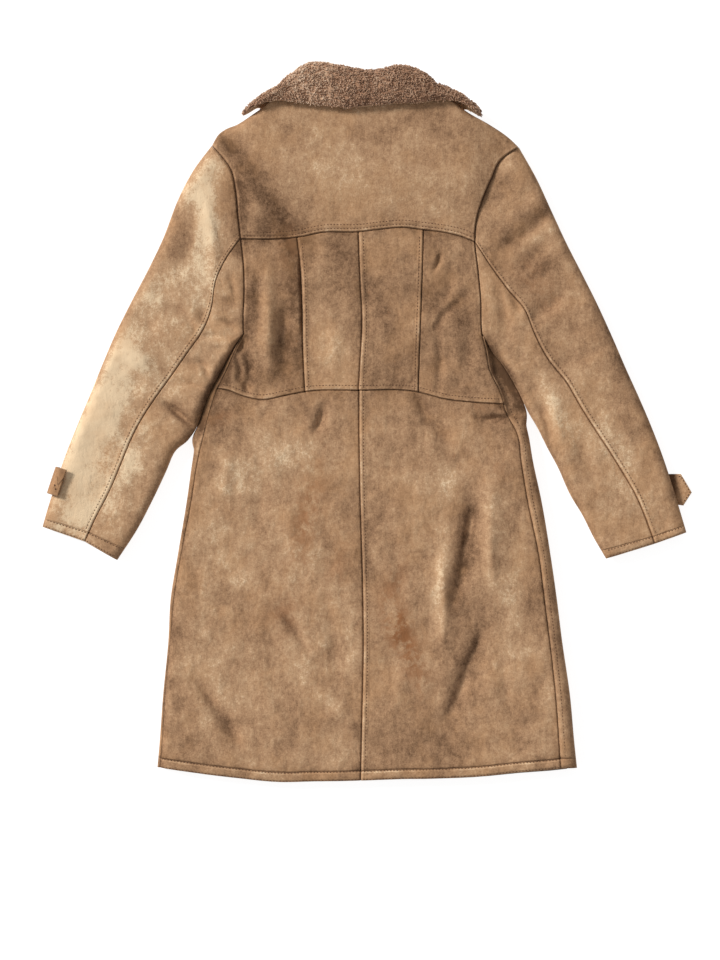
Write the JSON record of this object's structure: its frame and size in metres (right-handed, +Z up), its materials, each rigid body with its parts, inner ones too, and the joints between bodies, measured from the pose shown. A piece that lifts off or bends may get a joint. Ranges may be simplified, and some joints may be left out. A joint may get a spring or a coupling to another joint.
{
  "type": "shearling coat",
  "caption": "Long suede sheepskin coat with a fleece collar, laid out flat with its seamed back up and its sleeves spread.",
  "frame": {"origin": "middle of the coat's bounding box, on the surface that it lies on", "axes": "+Z up out of the coat's back, +Y from the hem towards the collar, +X towards the wearer's right sleeve"},
  "size_m": [0.913, 1.009, 0.0452],
  "materials": {
    "suede": "brushed suede hide, mottled tan brown, matt",
    "suede_trim": "suede strips and tabs, topstitched in brown",
    "fleece": "curly clipped lambskin fleece, brown with pale tips",
    "horn": "dark horn, polished"
  },
  "bodies": {
    "root": {"back_centre_left": "suede", "back_centre_right": "suede", "back_side_left": "suede", "back_side_right": "suede", "collar": "fleece", "cuff_band_left_top": "suede_trim", "cuff_band_left_under": "suede_trim", "cuff_band_right_top": "suede_trim", "cuff_band_right_under": "suede_trim", "cuff_tab_left": "suede_trim", "cuff_tab_right": "suede_trim", "front_button_1": "horn", "front_button_2": "horn", "front_button_3": "horn", "front_button_4": "horn", "front_left": "suede", "front_right": "suede", "hem_band_back_left": "suede_trim", "hem_band_back_right": "suede_trim", "hem_band_front_left": "suede_trim", "hem_band_front_right": "suede_trim", "skirt_back_left": "suede", "skirt_back_right": "suede", "sleeve_left_top": "suede", "sleeve_left_under": "suede", "sleeve_right_top": "suede", "sleeve_right_under": "suede", "yoke": "suede"}
  },
  "joints": []
}
